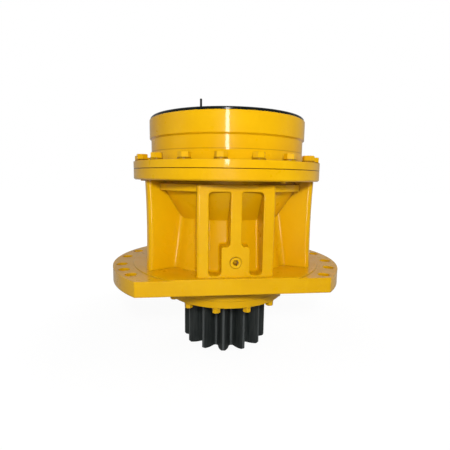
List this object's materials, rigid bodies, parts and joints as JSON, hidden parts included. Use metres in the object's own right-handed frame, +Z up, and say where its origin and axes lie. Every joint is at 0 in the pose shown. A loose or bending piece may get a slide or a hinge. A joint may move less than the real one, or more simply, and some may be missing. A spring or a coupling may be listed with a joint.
{
  "type": "swing gearbox",
  "caption": "Two-stage planetary swing gearbox: ribbed cast casing on a bolting plate, bolted-on ring gear and an output pinion below.",
  "frame": {"origin": "gearbox axis at the underside of the bolting plate", "axes": "+Z up the gearbox axis towards the motor end, -Y towards the front with the level plug, +X to the right seen from the front"},
  "size_m": [0.5946, 0.482, 0.6006],
  "materials": {
    "yellow_paint": "gloss",
    "pinion_steel": "satin",
    "black_cover": "semi-gloss",
    "black_steel": "black oxide",
    "bright_steel": "ground",
    "gear_steel": "oiled",
    "cast_iron": "as cast",
    "bronze": "machined",
    "copper": "annealed",
    "seal_rubber": "matte"
  },
  "bodies": {
    "root": {"casing": "yellow_paint", "ring_gear": "yellow_paint", "flange_bolts": "yellow_paint", "flange_washers": "yellow_paint", "dowel_pins": "bright_steel", "joint_seal": "seal_rubber", "transport_cover": "black_cover", "cover_peg": "black_cover", "level_plug": "yellow_paint", "plug_gasket": "copper", "seal_retainer": "yellow_paint", "retainer_bolts": "yellow_paint", "retainer_washers": "yellow_paint", "output_oil_seal": "seal_rubber", "lower_bearing_outer_ring": "bright_steel", "upper_bearing_outer_ring": "bright_steel"},
    "output_shaft": {"pinion_shaft": "pinion_steel", "lower_bearing_inner_ring": "bright_steel", "upper_bearing_inner_ring": "bright_steel", "bearing_spacer": "bright_steel", "shaft_lock_plate": "bright_steel", "lock_plate_bolts": "black_steel", "second_carrier": "cast_iron", "second_planet_pins": "bright_steel", "second_thrust_washers": "bronze", "second_sun_thrust_ring": "bronze"},
    "first_carrier": {"first_carrier": "cast_iron", "first_planet_pins": "bright_steel", "first_thrust_washers": "bronze", "first_sun_thrust_ring": "bronze", "second_sun": "gear_steel"},
    "first_sun": {"first_sun": "gear_steel"},
    "lower_bearing_rollers": {"lower_bearing_rollers": "bright_steel", "lower_bearing_cage": "bronze"},
    "upper_bearing_rollers": {"upper_bearing_rollers": "bright_steel", "upper_bearing_cage": "bronze"},
    "second_planet_1": {"second_planet_1": "gear_steel", "second_planet_bush_1": "bronze"},
    "second_planet_2": {"second_planet_2": "gear_steel", "second_planet_bush_2": "bronze"},
    "second_planet_3": {"second_planet_3": "gear_steel", "second_planet_bush_3": "bronze"},
    "first_planet_1": {"first_planet_1": "gear_steel", "first_planet_bush_1": "bronze"},
    "first_planet_2": {"first_planet_2": "gear_steel", "first_planet_bush_2": "bronze"},
    "first_planet_3": {"first_planet_3": "gear_steel", "first_planet_bush_3": "bronze"}
  },
  "joints": [
    {"name": "output_spin", "type": "hinge", "parent": "root", "child": "output_shaft", "pos_m": [0, 0, 0], "axis": [0, 0, 1], "continuous": true},
    {"name": "first_carrier_spin", "type": "hinge", "parent": "root", "child": "first_carrier", "pos_m": [0, 0, 0], "axis": [0, 0, 1], "continuous": true},
    {"name": "input_spin", "type": "hinge", "parent": "root", "child": "first_sun", "pos_m": [0, 0, 0], "axis": [0, 0, 1], "continuous": true},
    {"name": "lower_rollers_orbit", "type": "hinge", "parent": "root", "child": "lower_bearing_rollers", "pos_m": [0, 0, 0], "axis": [0, 0, 1], "continuous": true},
    {"name": "upper_rollers_orbit", "type": "hinge", "parent": "root", "child": "upper_bearing_rollers", "pos_m": [0, 0, 0], "axis": [0, 0, 1], "continuous": true},
    {"name": "second_planet_1_spin", "type": "hinge", "parent": "output_shaft", "child": "second_planet_1", "pos_m": [0, -0.117, 0], "axis": [0, 0, 1], "continuous": true},
    {"name": "second_planet_2_spin", "type": "hinge", "parent": "output_shaft", "child": "second_planet_2", "pos_m": [0.10132, 0.0585, 0], "axis": [0, 0, 1], "continuous": true},
    {"name": "second_planet_3_spin", "type": "hinge", "parent": "output_shaft", "child": "second_planet_3", "pos_m": [-0.10132, 0.0585, 0], "axis": [0, 0, 1], "continuous": true},
    {"name": "first_planet_1_spin", "type": "hinge", "parent": "first_carrier", "child": "first_planet_1", "pos_m": [0, -0.108, 0], "axis": [0, 0, 1], "continuous": true},
    {"name": "first_planet_2_spin", "type": "hinge", "parent": "first_carrier", "child": "first_planet_2", "pos_m": [0.09353, 0.054, 0], "axis": [0, 0, 1], "continuous": true},
    {"name": "first_planet_3_spin", "type": "hinge", "parent": "first_carrier", "child": "first_planet_3", "pos_m": [-0.09353, 0.054, 0], "axis": [0, 0, 1], "continuous": true}
  ],
  "couplings": [
    {"joint": "first_carrier_spin", "follows": "output_spin", "ratio": 3.7143},
    {"joint": "input_spin", "follows": "output_spin", "ratio": 17.829},
    {"joint": "lower_rollers_orbit", "follows": "output_spin", "ratio": 0.434},
    {"joint": "upper_rollers_orbit", "follows": "output_spin", "ratio": 0.43545},
    {"joint": "second_planet_1_spin", "follows": "output_spin", "ratio": -3.1667},
    {"joint": "second_planet_2_spin", "follows": "output_spin", "ratio": -3.1667},
    {"joint": "second_planet_3_spin", "follows": "output_spin", "ratio": -3.1667},
    {"joint": "first_planet_1_spin", "follows": "output_spin", "ratio": -10.082},
    {"joint": "first_planet_2_spin", "follows": "output_spin", "ratio": -10.082},
    {"joint": "first_planet_3_spin", "follows": "output_spin", "ratio": -10.082}
  ]
}
